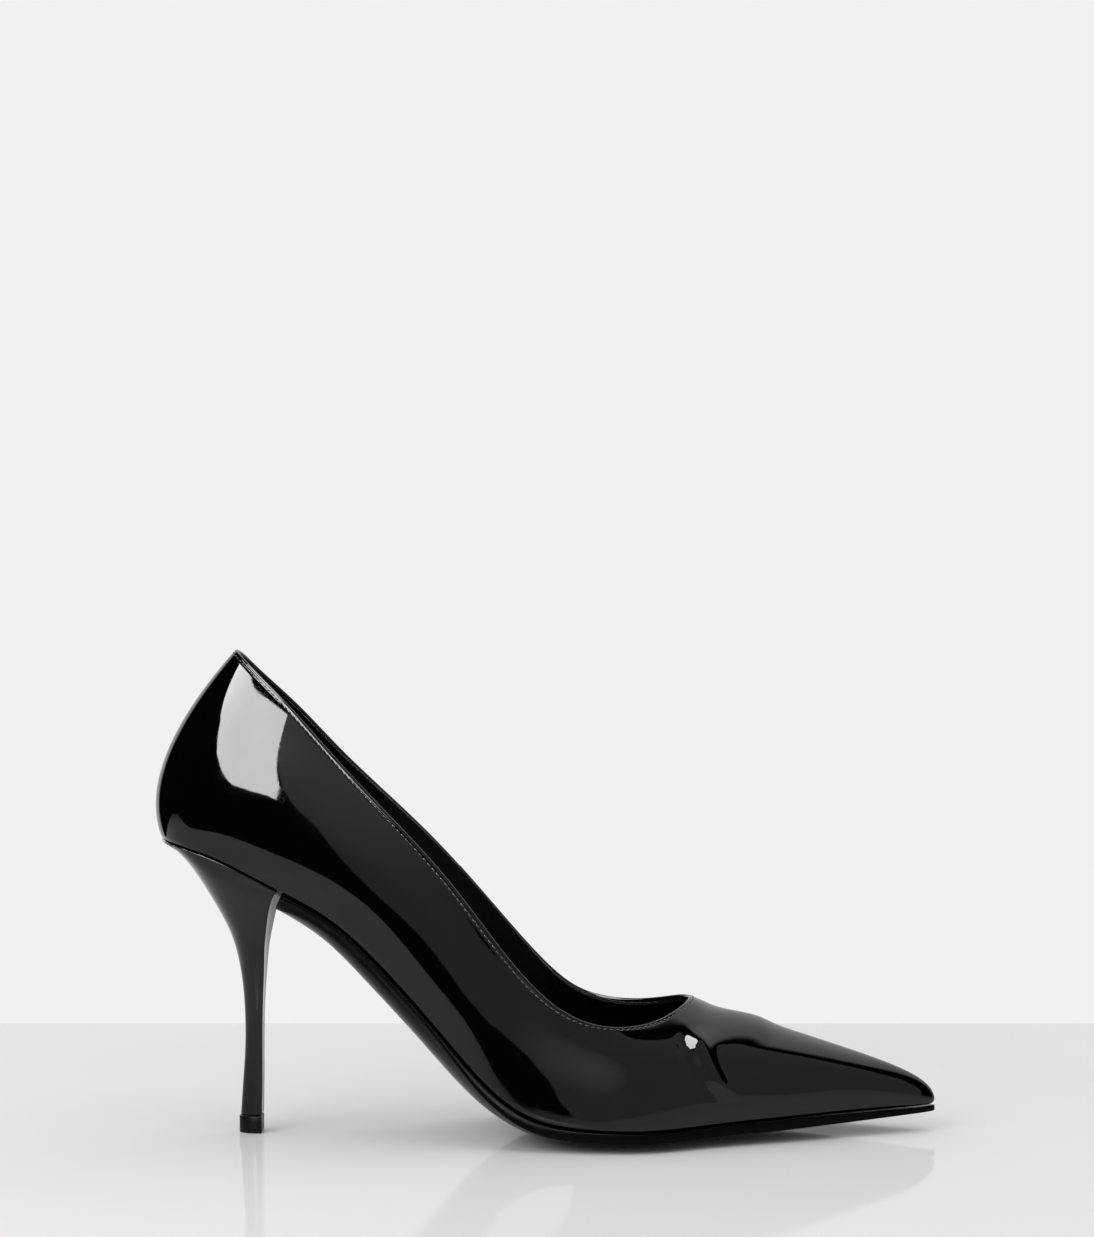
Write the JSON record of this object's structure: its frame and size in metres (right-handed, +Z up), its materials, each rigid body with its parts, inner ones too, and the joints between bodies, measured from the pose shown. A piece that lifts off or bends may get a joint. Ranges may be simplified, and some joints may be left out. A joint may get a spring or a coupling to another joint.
{
  "type": "high heel pump",
  "caption": "Pointed-toe patent leather pump for the right foot, with a low-cut topline, black lining and a slim stiletto heel.",
  "frame": {"origin": "on the floor, below the middle of the shoe's box", "axes": "+X from heel to toe, +Y to the inner (medial) side of the foot, +Z up"},
  "size_m": [0.2342, 0.0737, 0.1448],
  "materials": {
    "patent": "black patent, mirror gloss",
    "lining": "smooth black, low sheen",
    "sock": "smooth black, low sheen",
    "sole_leather": "black, polished edge",
    "thread": "black bonded thread",
    "stiffener": "resin-set fleece",
    "tape": "woven tape",
    "board": "pressed cellulose board",
    "filler": "cork compound",
    "foam": "latex foam",
    "heel_plastic": "moulded",
    "steel": "plain",
    "top_piece": "satin black"
  },
  "bodies": {
    "root": {"vamp_and_outer_quarter": "patent", "inner_quarter": "patent", "heel_cover": "patent", "vamp_lining": "lining", "quarter_lining": "lining", "sock": "sock", "outsole": "sole_leather", "heel_counter": "stiffener", "toe_puff": "stiffener", "topline_tape": "tape", "back_seam_tape": "tape", "insole_board": "board", "bottom_filler": "filler", "heel_pad": "foam", "forefoot_pad": "foam", "heel_core": "heel_plastic", "steel_shank": "steel", "shank_rivet_1": "steel", "shank_rivet_2": "steel", "heel_tube": "steel", "heel_screw": "steel", "heel_nail_1": "steel", "heel_nail_2": "steel", "heel_nail_3": "steel", "heel_nail_4": "steel", "top_piece_pin": "steel", "top_piece": "top_piece"}
  },
  "joints": []
}
